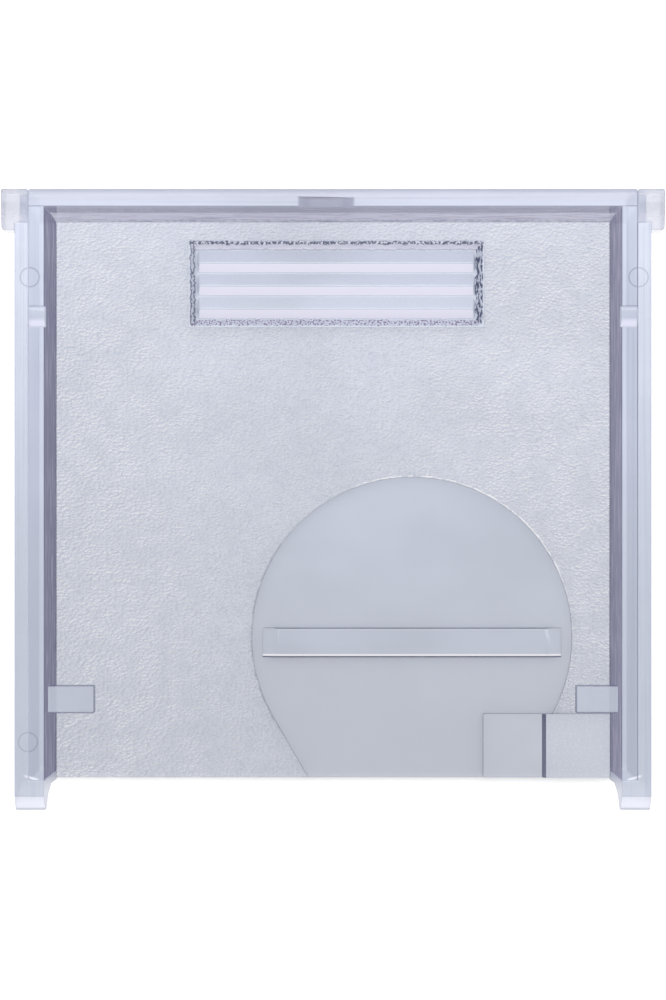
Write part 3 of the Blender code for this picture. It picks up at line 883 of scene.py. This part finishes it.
# %% Side walls
WALL_END_Y = -49.48 * MM
LEAN_LIMIT = 52 * MM
KEEPER_Y = -38.1 * MM
KEEPER_WIDTH = 5.0 * MM
KEEPER_Z = (8.8 * MM, 10.4 * MM)
KEEPER_ROOT_X = 52.0 * MM
DETENT_Y = (30.6 * MM, 34.2 * MM)
DETENT_SEAT = 13.1 * MM


def lean_inside(bm, side):
    """Move the inner corners of a piece onto the leaning face of its wall."""
    for vert in bm.verts:
        if abs(vert.co.x) < LEAN_LIMIT:
            vert.co.x = side * wall_face(vert.co.z)
    return bm


# The inner faces get a painted shade.
wall_plastic = clear_plastic("side wall plastic", tone(200, 206, 224), solid=0.78, shine=0.0,
                             painted_tints={"inward": tone(128, 128, 152)}, pattern=wall_marks)
for name, side in SIDES.items():
    outline = [(WALL_END_Y, SEAT_Z + SEAM), (WALL_END_Y, RIM)]
    outline += [(y - SEAM, z) for y, z in inner_outline]
    bm = prism(outline, "X", side * HALF_BED, side * WALL_BACK)
    wall = new_object(name + "_side", lean_inside(bm, side))
    trim(wall, box((side * OVER_BED, KEEPER_Y - SEAM, KEEPER_Z[0] - SEAM),
                   (side * KEEPER_ROOT_X, KEEPER_Y + KEEPER_WIDTH + SEAM, KEEPER_Z[1] + SEAM)))
    trim(wall, box((side * OVER_BED, DETENT_Y[0] - SEAM, DETENT_SEAT),
                   (side * FAR, DETENT_Y[1] + SEAM, OVER_RIM)))
    soften(wall, 0.15 * MM)
    stand_in(wall, wall_plastic, name + "_wall", casts_shadow=False)
print("side walls done")

# %% [markdown]
# ## Detents and keepers
#
# A detent is a small ridge in the rim that clicks into the enlarger. Its lower side slopes, and
# the slope gets a painted highlight. A keeper is a flat tab that holds the film's edge down. Both
# are small, so their rounded edges do most of the work: a keeper's edges all get painted shade,
# where they bend the light aside, and its lower edge a little less than the others.

# %% Detents and keepers
DETENT_CREST = 14.9 * MM
DETENT_INNER_X = 50.8 * MM
DETENT_SLOPE = 1.4 * MM
DETENT_BEVEL = 0.4 * MM
# Painted shade for the keepers' edges.
DARK_EDGE = tone(86, 90, 120)
KEEPER_REACH = {"left": 8.2 * MM, "right": 7.4 * MM}


def fine_cloud(place):
    """A fine unevenness, as on any small moulded face."""
    return place.stretch(0.8, 0.8).noise(2.0, 0.5)


# The detent's lower slope gets a painted highlight, and the keepers' edges painted shade.
detent_plastic = clear_plastic("detent plastic", tone(180, 187, 204), edges=(0.2, 0.4), solid=0.7,
                               painted_tints={"south": tone(218, 217, 236)}, relief=fine_cloud)
keeper_plastic = clear_plastic(
    "keeper plastic", tone(172, 177, 191), edges=(0.04, 0.2), relief=fine_cloud, solid=0.6,
    painted_tints={"north": DARK_EDGE, "east": DARK_EDGE, "south": tone(118, 121, 146),
           "west": DARK_EDGE})
for name, side in SIDES.items():
    low_y, high_y = DETENT_Y
    outline = [(low_y, DETENT_SEAT + SEAM), (high_y, DETENT_SEAT + SEAM), (high_y, RIM),
               (high_y - DETENT_BEVEL, DETENT_CREST), (low_y + DETENT_SLOPE, DETENT_CREST),
               (low_y, RIM - DETENT_BEVEL)]
    detent = new_object(name + "_ridge",
                        prism(outline, "X", side * DETENT_INNER_X, side * WALL_BACK))
    soften(detent, 0.15 * MM)
    stand_in(detent, detent_plastic, name + "_detent", casts_shadow=False)

    tip = side * (wall_face(KEEPER_Z[0]) - KEEPER_REACH[name])
    root = side * (KEEPER_ROOT_X - SEAM)
    keeper = new_object(name + "_tab", box((tip, KEEPER_Y, KEEPER_Z[0]),
                                           (root, KEEPER_Y + KEEPER_WIDTH, KEEPER_Z[1])))
    soften(keeper, 0.25 * MM, 3)
    stand_in(keeper, keeper_plastic, name + "_keeper", casts_shadow=False)
print("detents and keepers done")

# %% [markdown]
# ## The runners
#
# The runners slide in the enlarger's slot. Each ends in a foot with a nose that leads it in, so
# the outline is that of the foot, pushed across the full width of the rail and then cut back
# beside the wall. The slope of the nose faces down the tray and gets a painted highlight, nearly
# white.

# %% Runners
RUNNER_FACE = WALL_BACK + SEAM
LAP_Z = 8.5 * MM
LAP_Y = 49.0 * MM
FOOT_BLOCK_Y = -49.5 * MM
# Along the tray and up, in millimetres: heel, knee, chin, the nose's blunt tip, brow and rim.
FOOT = ((-51.1, 0), (-51.1, 7.0), (-52.6, 9.9), (-54.6, 11.3), (-55.0, 11.9), (-55.0, 12.6),
        (-54.3, 13.3), (-52.25, 14.5))

# Painted light and shade by facing: the nose's slope gets a painted highlight, the inner and outer
# faces painted shade.
runner_plastic = clear_plastic(
    "runner plastic", tone(198, 204, 221), edges=(0.3, 0.5), pattern=runner_marks, solid=0.74,
    painted_tints={"inward": tone(168, 172, 192), "south": tone(236, 236, 251),
           "outward": tone(176, 182, 202)}, shine=0.25)
for name, side in SIDES.items():
    outline = [(y * MM, z * MM) for y, z in FOOT]
    outline += [(LAP_Y - SEAM, RIM), (LAP_Y - SEAM, LAP_Z - SEAM), (TOP_Y, LAP_Z - SEAM),
                (TOP_Y, 0)]
    bm = prism(outline, "X", side * HALF_BED, side * RUNNER_BACK)
    runner = new_object(name + "_rail", lean_inside(bm, side))
    trim(runner, box((side * OVER_BED, FOOT_BLOCK_Y, -PAST), (side * RUNNER_FACE, FAR, OVER_RIM)))
    trim(runner, box((side * OVER_BED, -FAR, -PAST), (side * RUNNER_FACE, FAR, SEAT_Z + SEAM)))
    soften(runner, 0.2 * MM, 3)
    stand_in(runner, runner_plastic, name + "_runner", casts_shadow=False)
print("runners done")

# %% [markdown]
# ## The stop ears
#
# The ears stop the carrier at the mouth of the slot. They are well rounded, because a hand meets
# them first. Each laps over the end of its runner, and reaches a little further towards the feet
# beside it. Their upper face slopes down to the stop face, and that slope gets a painted
# highlight, so it shows paler.

# %% Stop ears
EAR_LOW_Y = 47.8 * MM
EAR_TIP = 58.75 * MM
EAR_LAND = 3.4 * MM
EAR_FALL = 1.0 * MM

# The slope facing down the tray and the outer faces get painted light, paler than the rest.
ear_plastic = clear_plastic("ear plastic", tone(147, 153, 171), edges=(0.1, 0.25),
                            relief=fine_cloud, depth=0.005 * MM,
                            painted_tints={"south": tone(184, 185, 202), "outward": tone(166, 170, 188)})
for name, side in SIDES.items():
    outline = [(EAR_LOW_Y, LAP_Z), (TOP_Y, LAP_Z), (TOP_Y, RIM), (TOP_Y - EAR_LAND, RIM),
               (EAR_LOW_Y, RIM - EAR_FALL)]
    ear = new_object(name + "_ear", prism(outline, "X", side * RUNNER_FACE, side * EAR_TIP))
    trim(ear, box((side * OVER_BED, -FAR, -PAST), (side * (RUNNER_BACK + SEAM), LAP_Y, OVER_RIM)))
    soften(ear, 0.45 * MM, 4)
    stand_in(ear, ear_plastic, name + "_stop_ear", casts_shadow=False)
print("ears done")

# %% [markdown]
# ## Floor and light
#
# Clear plastic shows best on white, so the floor is white card and the whole sky is white. One
# large soft lamp stands behind the top wall, and makes the far end of the tray a little brighter
# than the near end.

# %% Floor and light
FLOOR_HALF = 2.0
FLOOR_LOW, FLOOR_HIGH = -0.004, -0.0002

corners = [(-FLOOR_HALF, -FLOOR_HALF), (FLOOR_HALF, -FLOOR_HALF), (FLOOR_HALF, FLOOR_HALF),
           (-FLOOR_HALF, FLOOR_HALF)]
floor = new_object("floor", prism(corners, "Z", FLOOR_LOW, FLOOR_HIGH))
card = bpy.data.materials.new("white card")
card.use_nodes = True
card.node_tree.nodes["Principled BSDF"].inputs["Base Color"].default_value = (0.96, 0.96, 0.96, 1)
card.node_tree.nodes["Principled BSDF"].inputs["Roughness"].default_value = 0.8
floor.data.materials.append(card)

world = bpy.data.worlds.new("studio")
bpy.context.scene.world = world
world.use_nodes = True
world.node_tree.nodes["Background"].inputs["Color"].default_value = (1.0, 1.0, 1.0, 1.0)
world.node_tree.nodes["Background"].inputs["Strength"].default_value = 1.0

lamp = bpy.data.lights.new("softbox", "AREA")
lamp.shape = "RECTANGLE"
lamp.size = 0.50
lamp.size_y = 0.35
lamp.energy = 1.6
softbox = bpy.data.objects.new("softbox", lamp)
bpy.context.collection.objects.link(softbox)
softbox.location = (0.0, 0.20, 0.42)
softbox.rotation_euler = (-softbox.location).to_track_quat("-Z", "Y").to_euler()
softbox.visible_camera = False
print("floor, sky and lamp ready")

# %% [markdown]
# ## The camera
#
# The tray is seen from straight above, about a third of a metre away, so the inner faces of its
# walls just show.

# %% Camera
EYE_OVER_RIM = 0.350

camera = bpy.data.objects.new("camera", bpy.data.cameras.new("camera"))
bpy.context.collection.objects.link(camera)
camera.location = (0, 0, RIM + EYE_OVER_RIM)
camera.data.sensor_fit = "VERTICAL"
camera.data.sensor_height = 36.0
camera.data.lens = 71.43
bpy.context.scene.camera = camera
bpy.context.scene.view_settings.view_transform = "Standard"
print("camera", round(camera.location.z, 4), "m above the floor")
